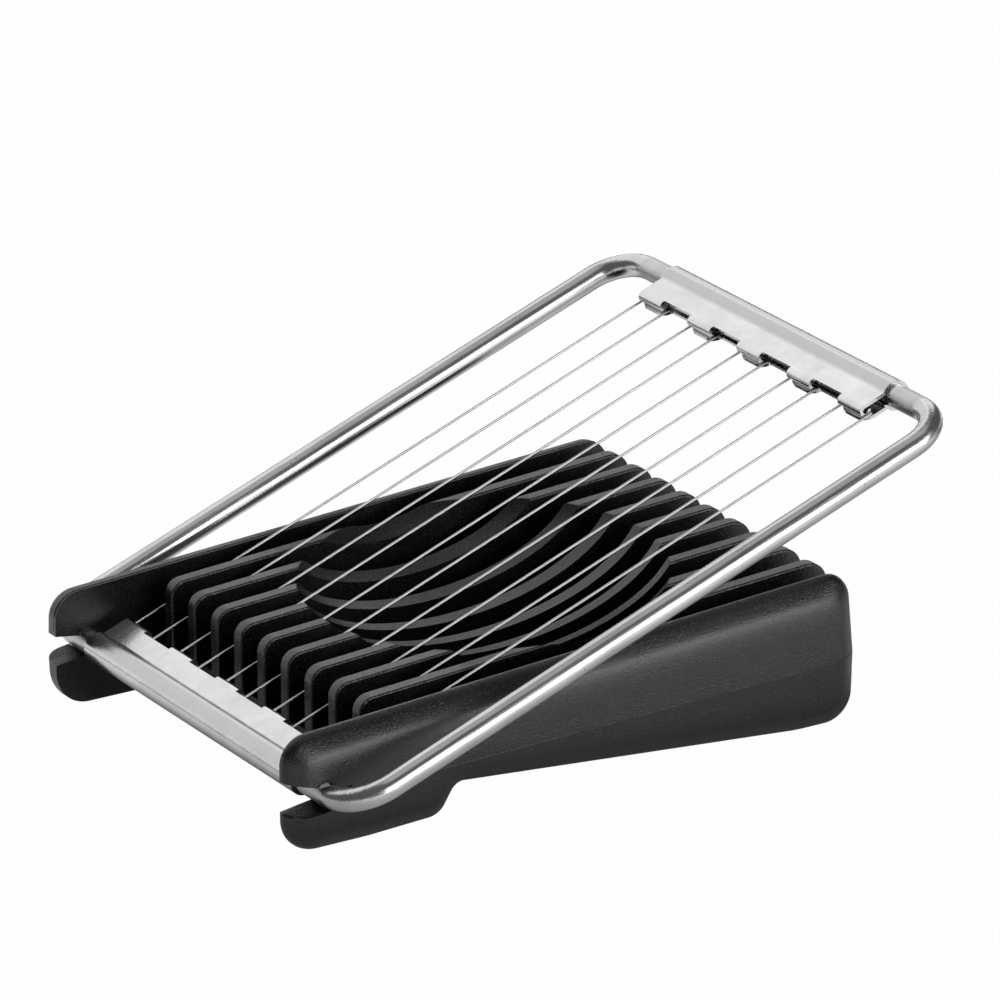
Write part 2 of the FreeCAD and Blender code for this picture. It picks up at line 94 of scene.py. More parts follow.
class NodeGraph:
    """A material's node tree with short ways to add and join nodes."""

    def __init__(self, name: str) -> None:
        """Start an empty material.

        Args:
            name: name of the material.
        """
        self.material = bpy.data.materials.new(name)
        self.material.use_nodes = True
        self.tree = self.material.node_tree
        self.tree.nodes.clear()
        self.output = self.add("ShaderNodeOutputMaterial")

    def add(self, kind: str, **inputs: Any) -> bpy.types.Node:
        """Add a node and set its inputs by name.

        Args:
            kind: Blender's type name of the node.
            inputs: values for inputs, with an underscore for each space in a name.

        Returns:
            The new node.
        """
        node = self.tree.nodes.new(kind)
        for name, value in inputs.items():
            node.inputs[name.replace("_", " ")].default_value = value
        return node

    def join(self, source: Socket, target: Socket) -> None:
        """Link an output to an input.

        Args:
            source: the output.
            target: the input.
        """
        self.tree.links.new(source, target)

    def math(self, operation: str, first: Value, second: Value = 0.0) -> Socket:
        """Join two values by a math operation.

        Args:
            operation: Blender's name of the operation.
            first: a socket or a number.
            second: a socket or a number.

        Returns:
            The result.
        """
        node = self.add("ShaderNodeMath")
        node.operation = operation
        for index, value in enumerate((first, second)):
            if isinstance(value, (int, float)):
                node.inputs[index].default_value = value
            else:
                self.join(value, node.inputs[index])
        return node.outputs[0]

    def point(self, scale: Sequence[float] = (1, 1, 1), turn: float = 0.0) -> Socket:
        """Object coordinates, turned about X and then scaled.

        Args:
            scale: factor along each axis.
            turn: degrees about X.

        Returns:
            The vector output.
        """
        source = self.add("ShaderNodeTexCoord").outputs["Object"]
        turned = self.add("ShaderNodeMapping")
        turned.inputs["Rotation"].default_value = (math.radians(turn), 0.0, 0.0)
        self.join(source, turned.inputs["Vector"])
        scaled = self.add("ShaderNodeMapping")
        scaled.inputs["Scale"].default_value = tuple(scale)
        self.join(turned.outputs["Vector"], scaled.inputs["Vector"])
        return scaled.outputs["Vector"]

    def noise(self, scale: Sequence[float], detail: float, turn: float = 0.0, rough: float = 0.55) -> Socket:
        """Noise on object coordinates.

        Args:
            scale: waves per metre along each axis.
            detail: number of finer layers.
            turn: degrees about X by which the axes are turned first.
            rough: strength of each finer layer as a share of the one before.

        Returns:
            The noise's factor output.
        """
        noise = self.add("ShaderNodeTexNoise", Scale=1.0, Detail=detail, Roughness=rough)
        self.join(self.point(scale, turn), noise.inputs["Vector"])
        return noise.outputs["Fac"]

    def ramp(self, source: Socket, low: Value, high: Value, start: float = 0.3, end: float = 0.7) -> Socket:
        """Map a range of a factor onto values from low to high.

        Args:
            source: the factor.
            low: value at the start, a number or a socket.
            high: value at the end, a number or a socket.
            start: factor that gives low.
            end: factor that gives high.

        Returns:
            The mapped value.
        """
        node = self.add("ShaderNodeMapRange", From_Min=start, From_Max=end)
        self.join(source, node.inputs["Value"])
        for name, value in (("To Min", low), ("To Max", high)):
            if isinstance(value, (int, float)):
                node.inputs[name].default_value = value
            else:
                self.join(value, node.inputs[name])
        return node.outputs["Result"]

    def tint(self, source: Socket, dark: Paint, light: Paint) -> Socket:
        """Mix two colours by a factor.

        The Mix node's inputs for numbers and colours share their names, so they are picked by index.

        Args:
            source: the factor.
            dark: colour or socket at 0.
            light: colour or socket at 1.

        Returns:
            The mixed colour.
        """
        node = self.add("ShaderNodeMix")
        node.data_type = "RGBA"
        self.join(source, node.inputs[0])
        for index, value in ((6, dark), (7, light)):
            if isinstance(value, tuple):
                node.inputs[index].default_value = (*value, 1.0)
            else:
                self.join(value, node.inputs[index])
        return node.outputs[2]

    def bump(self, height: Socket, depth: float) -> Socket:
        """Bumped normal from a height.

        Args:
            height: height factor.
            depth: real depth of the bump in metres.

        Returns:
            The normal output.
        """
        node = self.add("ShaderNodeBump", Strength=1.0, Distance=depth)
        self.join(height, node.inputs["Height"])
        return node.outputs["Normal"]

    def across(self) -> Socket:
        """Distance of the point from the middle plane.

        Returns:
            The distance in metres.
        """
        split = self.add("ShaderNodeSeparateXYZ")
        self.join(self.point(), split.inputs[0])
        return self.math("ABSOLUTE", split.outputs[0])

    def specks(self, per_metre: float, size: float, share: float, core: float = 0.6) -> Socket:
        """Sparse round specks.

        Args:
            per_metre: cells per metre.
            size: radius of a speck as a share of a cell.
            share: share of the cells that have one.
            core: share of the radius inside which a speck is at full strength.

        Returns:
            A factor that is 1 inside a speck.
        """
        cells = self.add("ShaderNodeTexVoronoi", Scale=1.0)
        self.join(self.point((per_metre,) * 3), cells.inputs["Vector"])
        inside = self.ramp(cells.outputs["Distance"], 1.0, 0.0, size * core, size)
        split = self.add("ShaderNodeSeparateColor")
        self.join(cells.outputs["Color"], split.inputs[0])
        chosen = self.math("LESS_THAN", split.outputs[0], share)
        return self.math("MULTIPLY", inside, chosen)

    def close(self, shader: bpy.types.Node) -> bpy.types.Material:
        """Join a shader to the output.

        Args:
            shader: the shader's node.

        Returns:
            The finished material.
        """
        self.join(shader.outputs[0], self.output.inputs[0])
        return self.material


@dataclass(frozen=True)
class MouldedPlastic:
    """Black injection moulded plastic with a fine eroded grain."""

    name: str = "black_moulded_plastic"
    dark: Colour = (0.0030, 0.0030, 0.0031)
    light: Colour = (0.0052, 0.0052, 0.0053)
    speck: Colour = (0.032, 0.032, 0.0315)
    grain_per_metre: float = 5000.0
    grain_layers: float = 1.0
    cloud_per_metre: float = 110.0
    cloud_layers: float = 2.0
    grain_depth: float = 0.00006
    speck_from: float = 0.56
    speck_to: float = 0.72
    gloss_low: float = 0.22
    gloss_high: float = 0.29
    refraction: float = 1.62

    def material(self) -> bpy.types.Material:
        """Build the finish.

        Returns:
            The material.
        """
        graph = NodeGraph(self.name)
        shader = graph.add("ShaderNodeBsdfPrincipled", IOR=self.refraction)
        grain = graph.noise((self.grain_per_metre,) * 3, self.grain_layers)
        cloud = graph.noise((self.cloud_per_metre,) * 3, self.cloud_layers)
        colour = graph.tint(cloud, self.dark, self.light)
        specked = graph.ramp(grain, 0.0, 1.0, self.speck_from, self.speck_to)
        colour = graph.tint(specked, colour, self.speck)
        graph.join(colour, shader.inputs["Base Color"])
        graph.join(graph.ramp(cloud, self.gloss_low, self.gloss_high), shader.inputs["Roughness"])
        graph.join(graph.bump(grain, self.grain_depth), shader.inputs["Normal"])
        return graph.close(shader)


@dataclass(frozen=True)
class PolishedRod:
    """Drawn and polished steel rod with marks along it, ground duller where it runs in the jaws."""

    name: str = "polished_steel_rod"
    dark: Colour = (0.52, 0.52, 0.515)
    light: Colour = (0.66, 0.66, 0.655)
    pit: Colour = (0.20, 0.20, 0.20)
    pits_per_metre: float = 900.0
    pit_size: float = 0.11
    pit_share: float = 0.25
    across_per_metre: float = 2600.0
    along_per_metre: float = 55.0
    streak_layers: float = 2.0
    cloud_per_metre: float = 120.0
    cloud_layers: float = 2.0
    grinding_per_metre: float = 1500.0
    grinding_layers: float = 3.0
    streak_depth: float = 0.00003
    gloss_low: float = 0.20
    gloss_high: float = 0.30
    ground_gloss: float = 0.42
    ground_share: float = 0.8
    tilt: float = REST_TILT
    leg_from: float = 34.0 * MM
    leg_to: float = 37.0 * MM
    journal_from: float = 27.6 * MM
    journal_to: float = 32.8 * MM
    journal_edge: float = 0.4 * MM

    def material(self) -> bpy.types.Material:
        """Build the finish.

        Returns:
            The material.
        """
        graph = NodeGraph(self.name)
        shader = graph.add("ShaderNodeBsdfPrincipled", Metallic=1.0)
        thin, long = self.across_per_metre, self.along_per_metre
        on_leg = graph.noise((thin, long, thin), self.streak_layers, -self.tilt)
        on_bar = graph.noise((long, thin, thin), self.streak_layers)
        across = graph.across()
        leg = graph.ramp(across, 0.0, 1.0, self.leg_from, self.leg_to)
        streak = graph.ramp(leg, on_bar, on_leg, 0.0, 1.0)
        cloud = graph.noise((self.cloud_per_metre,) * 3, self.cloud_layers)
        edge = self.journal_edge
        inner = graph.ramp(across, 0.0, 1.0, self.journal_from - edge, self.journal_from + edge)
        outer = graph.ramp(across, 1.0, 0.0, self.journal_to - edge, self.journal_to + edge)
        ground = graph.math("MULTIPLY", inner, outer)
        colour = graph.tint(graph.ramp(cloud, 0.0, 1.0), self.dark, self.light)
        pits = graph.specks(self.pits_per_metre, self.pit_size, self.pit_share)
        colour = graph.tint(pits, colour, self.pit)
        graph.join(colour, shader.inputs["Base Color"])
        worn = graph.ramp(streak, self.gloss_low, self.gloss_high)
        graph.join(graph.ramp(ground, worn, self.ground_gloss, 0.0, 1.0), shader.inputs["Roughness"])
        rough = graph.noise((self.grinding_per_metre,) * 3, self.grinding_layers)
        height = graph.ramp(graph.math("MULTIPLY", ground, self.ground_share), streak, rough, 0.0, 1.0)
        graph.join(graph.bump(height, self.streak_depth), shader.inputs["Normal"])
        return graph.close(shader)


@dataclass(frozen=True)
class SatinSheet:
    """Folded bright sheet with a fine mottle and a few dark pits, and a painted shade that darkens the cover
    above its flange.
    """

    name: str = "satin_steel_sheet"
    dark: Colour = (0.62, 0.62, 0.615)
    light: Colour = (0.74, 0.74, 0.735)
    # drawn is the colour of a painted shade on the cover above the flange, not a drawn finish.
    drawn: Colour = (0.46, 0.46, 0.455)
    pit: Colour = (0.30, 0.30, 0.29)
    pits_per_metre: float = 1100.0
    pit_size: float = 0.12
    pit_share: float = 0.12
    cloud_per_metre: float = 260.0
    cloud_layers: float = 3.0
    tilt: float = REST_TILT
    flange: float = 24.56 * MM
    bulge: float = 0.3 * MM
    painted_shade_share: float = 0.8
    mottle_per_metre: float = 3000.0
    mottle_layers: float = 2.0
    mottle_depth: float = 0.000008
    gloss_low: float = 0.16
    gloss_high: float = 0.26

    def material(self) -> bpy.types.Material:
        """Build the finish.

        Returns:
            The material.
        """
        graph = NodeGraph(self.name)
        shader = graph.add("ShaderNodeBsdfPrincipled", Metallic=1.0)
        mottle = graph.noise((self.mottle_per_metre,) * 3, self.mottle_layers)
        cloud = graph.noise((self.cloud_per_metre,) * 3, self.cloud_layers)
        colour = graph.tint(graph.ramp(cloud, 0.0, 1.0), self.dark, self.light)
        split = graph.add("ShaderNodeSeparateXYZ")
        graph.join(graph.point(turn=-self.tilt), split.inputs[0])
        # Painted shade: the cover above the flange plane is darkened towards the drawn colour.
        painted_cover_shade_mask = graph.ramp(split.outputs[2], 0.0, self.painted_shade_share, self.flange, self.flange + self.bulge)
        colour = graph.tint(painted_cover_shade_mask, colour, self.drawn)
        pits = graph.specks(self.pits_per_metre, self.pit_size, self.pit_share)
        colour = graph.tint(pits, colour, self.pit)
        graph.join(colour, shader.inputs["Base Color"])
        graph.join(graph.ramp(mottle, self.gloss_low, self.gloss_high), shader.inputs["Roughness"])
        graph.join(graph.bump(mottle, self.mottle_depth), shader.inputs["Normal"])
        return graph.close(shader)


@dataclass(frozen=True)
class BrightWire:
    """Hard drawn cutting wire."""

    name: str = "bright_steel_wire"
    dark: Colour = (0.58, 0.58, 0.58)
    light: Colour = (0.70, 0.70, 0.70)
    across_per_metre: float = 900.0
    along_per_metre: float = 60.0
    draw_layers: float = 2.0
    gloss_low: float = 0.2
    gloss_high: float = 0.3

    def material(self) -> bpy.types.Material:
        """Build the finish.

        Returns:
            The material.
        """
        graph = NodeGraph(self.name)
        shader = graph.add("ShaderNodeBsdfPrincipled", Metallic=1.0)
        thin, long = self.across_per_metre, self.along_per_metre
        drawn = graph.noise((thin, long, thin), self.draw_layers)
        graph.join(graph.tint(drawn, self.dark, self.light), shader.inputs["Base Color"])
        graph.join(graph.ramp(drawn, self.gloss_low, self.gloss_high), shader.inputs["Roughness"])
        return graph.close(shader)


class Finishes:
    """The materials of the part, each made once."""

    def __init__(self) -> None:
        """Build every finish."""
        self.plastic = MouldedPlastic().material()
        self.rod = PolishedRod().material()
        self.sheet = SatinSheet().material()
        self.wire = BrightWire().material()


def select_none() -> None:
    """Leave edit mode and deselect everything."""
    if bpy.context.object and bpy.context.object.mode != "OBJECT":
        bpy.ops.object.mode_set(mode="OBJECT")
    bpy.ops.object.select_all(action="DESELECT")


def work_on(piece: bpy.types.Object) -> None:
    """Make one piece the only selected and active one.

    Args:
        piece: the piece.
    """
    select_none()
    piece.select_set(True)
    bpy.context.view_layer.objects.active = piece


def apply_place(piece: bpy.types.Object) -> None:
    """Move a piece's place, turn and scale into its mesh.

    Args:
        piece: the piece.
    """
    work_on(piece)
    bpy.ops.object.transform_apply(location=True, rotation=True, scale=True)


def dress(piece: bpy.types.Object, material: bpy.types.Material) -> None:
    """Give a piece one material in place of those it came with.

    Args:
        piece: the piece.
        material: its finish.
    """
    piece.data.materials.clear()
    piece.data.materials.append(material)


def weigh_normals(piece: bpy.types.Object) -> None:
    """Let large faces keep their own normals, so that only the small ones round the edges.

    Args:
        piece: the piece, which is active.
    """
    weigh = piece.modifiers.new("weighted_normals", "WEIGHTED_NORMAL")
    weigh.keep_sharp = True
    bpy.ops.object.modifier_apply(modifier=weigh.name)


def points_of(mesh: bpy.types.Mesh) -> np.ndarray:
    """Vertices of a mesh as rows of metres.

    Args:
        mesh: the mesh.

    Returns:
        An array with three columns.
    """
    flat = np.empty(len(mesh.vertices) * 3)
    mesh.vertices.foreach_get("co", flat)
    return flat.reshape(-1, 3)


@dataclass
class WallShape:
    """Side view and crown of the walls, in millimetres, with Y from the rib fronts as in the solids.

    The rows of crown are depth from the outline, setback from the face and fall of the setback per depth.
    """

    nose: float = -14.18
    rear: float = 71.9
    rear_lean: float = 0.6
    rear_corner: float = 4.2
    pad: float = 63.4
    heel: float = 8.8
    heel_lift: float = 0.5
    step: float = 11.2
    step_height: float = 4.6
    foot_flat_end: float = -1.88
    deck_front: float = 16.5
    deck_slope: float = 4.5 / 71.2
    outer: float = 32.4
    parting_front: float = 7.5
    parting_rear: float = 9.7
    draft: float = 3.0
    solid_inset: float = 2.3
    solid_reach: float = 2.6
    crown_reach: float = 6.0
    land_inset: float = 1.65
    land_reach: float = 2.2
    rim_start: float = 10.8
    soft_corner: float = 6.5
    foot_nose_corner: float = 4.8
    jaw_nose_corner: float = 3.8
    top_rear_corner: float = 3.6
    step_corner: float = 1.8
    heel_corner: float = 3.0
    kink: float = 20.0
    arc_steps: int = 32
    shortest_edge: float = 1e-6
    crown: Tuple[Tuple[float, float, float], ...] = (
        (0.0, 2.75, 6.0),
        (0.15, 2.23, 2.25),
        (0.4, 1.85, 1.19),
        (0.75, 1.52, 0.87),
        (1.3, 1.09, 0.78),
        (1.9, 0.67, 0.675),
        (2.3, 0.445, 0.51),
        (2.8, 0.255, 0.287),
        (3.4, 0.13, 0.14),
        (4.2, 0.055, 0.07),
        (6.0, 0.0, 0.0),
    )

    def corners(self, soft: bool) -> List[Tuple[float, float, float]]:
        """Corners (y, z, radius) of the wall without its slot.

        Args:
            soft: whether the large corners are rounded more, as deep inside the face.

        Returns:
            The corners in order.
        """
        top_y = self.rear - self.rear_lean
        big = self.soft_corner
        return [
            (self.nose, 0.0, big if soft else self.foot_nose_corner),
            (self.nose, self.deck(self.nose), big if soft else self.jaw_nose_corner),
            (top_y, self.deck(top_y), big if soft else self.top_rear_corner),
            (self.rear, self.parting(self.rear), self.kink),
            (self.rear, 0.0, big if soft else self.rear_corner),
            (self.pad, 0.0, self.kink),
            (self.step, self.step_height, self.step_corner),
            (self.heel, self.heel_lift, self.heel_corner),
            (self.foot_flat_end, 0.0, self.kink),
        ]

    def deck(self, y: Along) -> Along:
        """Height of the wall's top edge.

        Args:
            y: distance from the rib fronts.

        Returns:
            The height at y.
        """
        return self.deck_front + self.deck_slope * y

    def parting(self, y: Along) -> Along:
        """Height of the mould's parting line.

        Args:
            y: distance from the rib fronts.

        Returns:
            The height at y.
        """
        share = (y - self.nose) / (self.rear - self.nose)
        return self.parting_front + share * (self.parting_rear - self.parting_front)

    def outline(self, soft: bool) -> np.ndarray:
        """Points along the closed outline.

        Args:
            soft: see corners.

        Returns:
            An array of (y, z) rows.
        """
        corners = self.corners(soft)
        rows: List[np.ndarray] = []
        for index, (y, z, radius) in enumerate(corners):
            here = np.array((y, z))
            back = np.array(corners[index - 1][:2]) - here
            ahead = np.array(corners[(index + 1) % len(corners)][:2]) - here
            back /= np.linalg.norm(back)
            ahead /= np.linalg.norm(ahead)
            half = math.acos(float(back @ ahead)) / 2
            inward = (back + ahead) / np.linalg.norm(back + ahead)
            centre = here + inward * radius / math.sin(half)
            first = here + back * radius / math.tan(half) - centre
            last = here + ahead * radius / math.tan(half) - centre
            turn = math.atan2(first[0] * last[1] - first[1] * last[0], float(first @ last))
            for share in np.linspace(0.0, 1.0, self.arc_steps):
                c, s = math.cos(share * turn), math.sin(share * turn)
                rows.append(centre + np.array((c * first[0] - s * first[1], s * first[0] + c * first[1])))
        return np.array(rows)

    def rim(self) -> np.ndarray:
        """Path from the jaw's tip round the nose and along the top edge to the rear corner.

        Returns:
            An array of (y, z) rows.
        """
        rows = self.outline(False)
        return np.vstack(((self.nose, self.rim_start), rows[self.arc_steps:3 * self.arc_steps]))

    def depth(self, spots: np.ndarray, soft: bool) -> np.ndarray:
        """Distance of points inside the face from its outline.

        Args:
            spots: rows of (y, z).
            soft: see corners.

        Returns:
            One distance for each row.
        """
        start = self.outline(soft)
        run = np.roll(start, -1, axis=0) - start
        best = np.full(len(spots), np.inf)
        for origin, edge in zip(start, run):
            length = float(edge @ edge)
            if length < self.shortest_edge ** 2:
                continue
            along = np.clip((spots - origin) @ edge / length, 0.0, 1.0)
            gap = spots - origin - along[:, None] * edge
            best = np.minimum(best, np.hypot(gap[:, 0], gap[:, 1]))
        return best

    def plane(self, spots: np.ndarray) -> np.ndarray:
        """Outward distance of the drafted face before its edges are rounded.

        Args:
            spots: rows of (y, z).

        Returns:
            One distance from the middle plane for each row.
        """
        lean = math.tan(math.radians(self.draft))
        return self.outer - lean * np.abs(spots[:, 1] - self.parting(spots[:, 0]))

    def oval(self, depth: np.ndarray, inset: float, reach: float) -> np.ndarray:
        """How far an oval edge stands back from the face.

        Args:
            depth: distance from the outline.
            inset: how far it stands back at the outline.
            reach: distance from the outline at which it ends.

        Returns:
            One setback for each depth.
        """
        share = np.clip((reach - depth) / reach, 0.0, 1.0)
        return inset * (1.0 - np.sqrt(1.0 - share ** 2))

    def solid_face(self, spots: np.ndarray, slip: float) -> np.ndarray:
        """Outward distance of the solid's outer face.

        Args:
            spots: rows of (y, z).
            slip: how much deeper than they are the points are taken to lie.

        Returns:
            One distance from the middle plane for each row.
        """
        depth = np.maximum(self.depth(spots, False) + slip, 0.0)
        return self.plane(spots) - self.oval(depth, self.solid_inset, self.solid_reach)

    def bevelled(self, depth: np.ndarray) -> np.ndarray:
        """How far the crown stands back from the face, by cubic steps between its rows.

        Args:
            depth: distance from the outline.

        Returns:
            One setback for each depth.
        """
        rows = np.array(self.crown)
        held = np.clip(depth, 0.0, rows[-1, 0])
        last = np.clip(np.searchsorted(rows[:, 0], held), 1, len(rows) - 1)
        low, high = rows[last - 1], rows[last]
        run = high[:, 0] - low[:, 0]
        t = (held - low[:, 0]) / run
        rise = (1.0 + 2.0 * t) * low[:, 1] - t * run * low[:, 2]
        fall = (3.0 - 2.0 * t) * high[:, 1] + (1.0 - t) * run * high[:, 2]
        return (1.0 - t) ** 2 * rise + t ** 2 * fall

    def crowned_face(self, spots: np.ndarray, near: np.ndarray) -> np.ndarray:
        """Outward distance of the real outer face, which keeps a flat land on the far wall's top.

        Args:
            spots: rows of (y, z).
            near: mask of the rows that lie on the near wall.

        Returns:
            One distance from the middle plane for each row.
        """
        sharp = self.depth(spots, False)
        share = np.clip(sharp / self.crown_reach, 0.0, 1.0)
        blend = share * share * (3.0 - 2.0 * share)
        depth = sharp + blend * np.minimum(self.depth(spots, True) - sharp, 0.0)
        land = self.oval(sharp, self.land_inset, self.land_reach)
        return self.plane(spots) - np.where(near, self.bevelled(depth), land)


@dataclass
class CombBase:
    """The moulded base: crowned walls, mould parting lines, snap nubs and a ridge on the far rim."""

    hinge_to_origin: float = 34.2426
    inner_face: float = 29.0
    shape: WallShape = field(default_factory=WallShape)
    grid_y: float = 0.9
    grid_z: float = 0.45
    on_face: float = 0.06
    chord: float = 0.07
    merge_within: float = 2e-6
    cut_within: float = 1e-6
    flat_angle: float = 0.2
    wall_smooth_angle: float = 32.0
    trim_smooth_angle: float = 35.0
    trim_edge_share: float = 0.3
    trim_edge_segments: int = 2
    line_front: float = -6.9
    line_rear: float = 71.2
    line_width: float = 0.2
    line_proud: float = 0.06
    line_cuts: int = 120
    ridge_place: float = 29.5
    ridge_width: float = 0.2
    ridge_proud: float = 0.13
    nub_place: Tuple[float, float] = (-10.43, 9.95)
    nub_radius: float = 0.4
    nub_segments: int = 20
    nub_rings: int = 12

    def build(self, frame: Dict[str, Any], plastic: bpy.types.Material) -> List[bpy.types.Object]:
        """Make the crowned base and its small moulded details.

        Args:
            plastic: the base's finish.

        Returns:
            The pieces that were made.
        """
        pieces = [self.crowned_base(frame["nodes"]["comb_base"])]
        pieces += [self.flash_line(side) for side in Side]
        pieces += [self.snap_nub(side) for side in Side]
        pieces.append(self.rim_ridge())
        for piece in pieces:
            dress(piece, plastic)
            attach(piece, Body.BASE.value)
        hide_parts("comb_base")
        return pieces

    def spots(self, points: np.ndarray) -> np.ndarray:
        """Side view of points.

        Args:
            points: rows of metres.

        Returns:
            Rows of (y, z) in millimetres from the rib fronts.
        """
        return np.column_stack((points[:, 1] / MM + self.hinge_to_origin, points[:, 2] / MM))

    def on_outer_face(self, points: np.ndarray) -> np.ndarray:
        """Find the points on the outer face of either wall, with room for the chords of its outline.

        Args:
            points: rows of metres.

        Returns:
            A mask of the rows.
        """
        spots = self.spots(points)
        out = np.abs(points[:, 0]) / MM
        low, high = (self.shape.solid_face(spots, slip) for slip in (-self.chord, self.chord))
        return (out > low - self.on_face) & (out < high + self.on_face)

    def tuck_floor(self, points: np.ndarray) -> None:
        """Pull the rear lower edge of the floor inside the rounded corner of the walls.

        Args:
            points: the base's vertices in metres, which are changed.
        """
        radius = self.shape.rear_corner
        off = self.spots(points) - (self.shape.rear - radius, radius)
        reach = np.hypot(off[:, 0], off[:, 1])
        between = np.abs(points[:, 0]) < (self.inner_face + self.on_face) * MM
        out = between & (off[:, 0] > 0.0) & (off[:, 1] < 0.0) & (reach > radius)
        points[out, 1:] += off[out] * (radius / reach[out] - 1.0)[:, None] * MM

    def crowned_base(self, node: bpy.types.Object) -> bpy.types.Object:
        """Copy the solid base and swell the outer faces of its walls to their crown.

        Args:
            node: the base's CAD node.

        Returns:
            The new base.
        """
        base = bpy.data.objects.new("moulded_base", node.data.copy())
        bpy.context.scene.collection.objects.link(base)
        work_on(base)
        bpy.ops.mesh.customdata_custom_splitnormals_clear()
        bpy.ops.object.mode_set(mode="EDIT")
        bpy.ops.mesh.select_all(action="SELECT")
        bpy.ops.mesh.remove_doubles(threshold=self.merge_within)
        bpy.ops.object.mode_set(mode="OBJECT")
        marked = np.flatnonzero(self.on_outer_face(points_of(base.data)))
        group = base.vertex_groups.new(name="outer_faces")
        group.add(marked.tolist(), 1.0, "REPLACE")
        bpy.ops.object.mode_set(mode="EDIT")
        bpy.ops.mesh.select_mode(type="VERT")
        bpy.ops.mesh.select_all(action="DESELECT")
        bpy.ops.object.vertex_group_select()
        bpy.ops.mesh.dissolve_limited(angle_limit=math.radians(self.flat_angle))
        for y in np.arange(self.shape.nose + self.grid_y, self.shape.rear, self.grid_y):
            self.cut_grid((0.0, (y - self.hinge_to_origin) * MM, 0.0), (0.0, 1.0, 0.0))
        for z in np.arange(self.grid_z, self.shape.deck(self.shape.rear), self.grid_z):
            self.cut_grid((0.0, 0.0, z * MM), (0.0, 0.0, 1.0))
        bpy.ops.object.mode_set(mode="OBJECT")
        points = points_of(base.data)
        marked = np.flatnonzero(self.on_outer_face(points))
        outward = self.shape.crowned_face(self.spots(points[marked]), points[marked, 0] > 0.0)
        points[marked, 0] = np.sign(points[marked, 0]) * outward * MM
        self.tuck_floor(points)
        base.data.vertices.foreach_set("co", points.ravel())
        base.data.update()
        base.vertex_groups.clear()
        work_on(base)
        bpy.ops.object.shade_smooth_by_angle(angle=math.radians(self.wall_smooth_angle))
        weigh_normals(base)
        return base

    def cut_grid(self, place: Tuple[float, float, float], normal: Tuple[float, float, float]) -> None:
        """Cut the marked faces along a plane.

        Args:
            place: a point of the plane, in metres.
            normal: the plane's normal.
        """
        bpy.ops.object.vertex_group_select()
        bpy.ops.mesh.bisect(plane_co=place, plane_no=normal, threshold=self.cut_within)

    def strip(self, front: float, rear: float, width: float, height: float) -> bpy.types.Object:
        """Thin straight bar along Y with soft edges, cut into short lengths so that it can be bent.

        Args:
            front: where it starts, in millimetres from the rib fronts.
            rear: where it ends.
            width: its size along X.
            height: its size along Z.

        Returns:
            The bar.
        """
        middle = (front + rear) / 2
        select_none()
        bpy.ops.mesh.primitive_cube_add(
            size=1.0,
            location=(0.0, (middle - self.hinge_to_origin) * MM, 0.0),
            scale=(width * MM, (rear - front) * MM, height * MM),
        )
        bar = bpy.context.object
        apply_place(bar)
        bpy.ops.object.mode_set(mode="EDIT")
        bpy.ops.mesh.select_all(action="SELECT")
        edge = min(width, height) * self.trim_edge_share * MM
        bpy.ops.mesh.bevel(offset=edge, segments=self.trim_edge_segments, affect="EDGES")
        for y in np.linspace(front, rear, self.line_cuts)[1:-1]:
            bpy.ops.mesh.select_all(action="SELECT")
            place = (0.0, (y - self.hinge_to_origin) * MM, 0.0)
            bpy.ops.mesh.bisect(plane_co=place, plane_no=(0.0, 1.0, 0.0), threshold=self.cut_within)
        bpy.ops.object.mode_set(mode="OBJECT")
        return bar

    def rim_ridge(self) -> bpy.types.Object:
        """Fine ridge along the top of the far wall, near its inner edge.

        Returns:
            The new piece.
        """
        path = self.shape.rim()
        lengths = np.concatenate(((0.0,), np.cumsum(np.hypot(*np.diff(path, axis=0).T))))
        ridge = self.strip(0.0, float(lengths[-1]), self.ridge_width, 2 * self.ridge_proud)
        ridge.name = "rim_ridge_far"
        points = points_of(ridge.data)
        along = np.clip(self.spots(points)[:, 0], 0.0, lengths[-1])
        ahead = np.minimum(along + self.ridge_width, lengths[-1])
        behind = np.maximum(along - self.ridge_width, 0.0)
        run = np.column_stack([np.interp(ahead, lengths, c) - np.interp(behind, lengths, c) for c in path.T])
        run /= np.linalg.norm(run, axis=1)[:, None]
        rise = points[:, 2] / MM
        y = np.maximum(np.interp(along, lengths, path[:, 0]) - run[:, 1] * rise, self.shape.nose)
        z = np.interp(along, lengths, path[:, 1]) + run[:, 0] * rise
        across = Side.FAR.value * (self.ridge_place + points[:, 0] / MM)
        placed = np.column_stack((across, y - self.hinge_to_origin, z)) * MM
        ridge.data.vertices.foreach_set("co", placed.ravel())
        ridge.data.update()
        ridge.data.flip_normals()
        bpy.ops.object.shade_smooth_by_angle(angle=math.radians(self.trim_smooth_angle))
        return ridge

    def flash_line(self, side: Side) -> bpy.types.Object:
        """Thin raised line that the mould halves left on a wall.

        Args:
            side: which wall.

        Returns:
            The new piece.
        """
        line = self.strip(self.line_front, self.line_rear, 2 * self.line_proud, self.line_width)
        line.name = f"parting_line_{side.name.lower()}"
        points = points_of(line.data)
        spots = self.spots(points)
        spots[:, 1] = self.shape.parting(spots[:, 0])
        near = np.full(len(spots), side is Side.NEAR)
        points[:, 0] = side.value * (self.shape.crowned_face(spots, near) * MM + points[:, 0])
        points[:, 2] += spots[:, 1] * MM
        line.data.vertices.foreach_set("co", points.ravel())
        line.data.update()
        if side is Side.FAR:
            line.data.flip_normals()
        bpy.ops.object.shade_smooth_by_angle(angle=math.radians(self.trim_smooth_angle))
        return line

